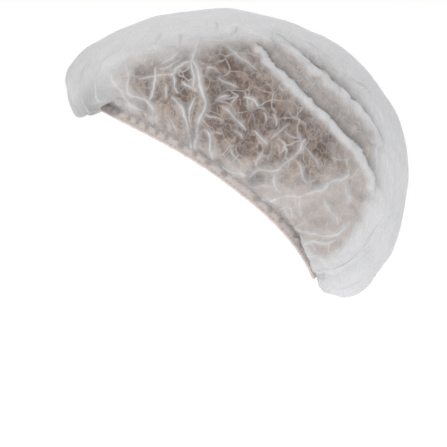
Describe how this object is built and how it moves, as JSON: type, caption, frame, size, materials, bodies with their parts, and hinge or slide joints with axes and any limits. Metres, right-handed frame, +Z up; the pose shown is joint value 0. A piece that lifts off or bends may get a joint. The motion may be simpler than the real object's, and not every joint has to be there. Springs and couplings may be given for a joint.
{
  "type": "bouffant scrub cap",
  "caption": "Domed bouffant cap of thin nonwoven with a gathered head opening, held by an elastic inside a folded hem; shown in its worn form.",
  "frame": {"origin": "middle of the head opening, where a head holds the cap", "axes": "the wearer faces -Y, the wearer's left is +X, +Z up; the opening's plane is tilted 39.6 degrees, forehead high, nape low"},
  "size_m": [0.1897, 0.2412, 0.2038],
  "materials": {
    "nonwoven": "thin white spunbond nonwoven, slightly see-through",
    "hem_nonwoven": "the same nonwoven folded double, matt",
    "elastic": "flat knitted elastic, warm off-white"
  },
  "bodies": {
    "root": {"crown": "nonwoven", "hem": "hem_nonwoven", "elastic_band": "elastic"}
  },
  "joints": []
}
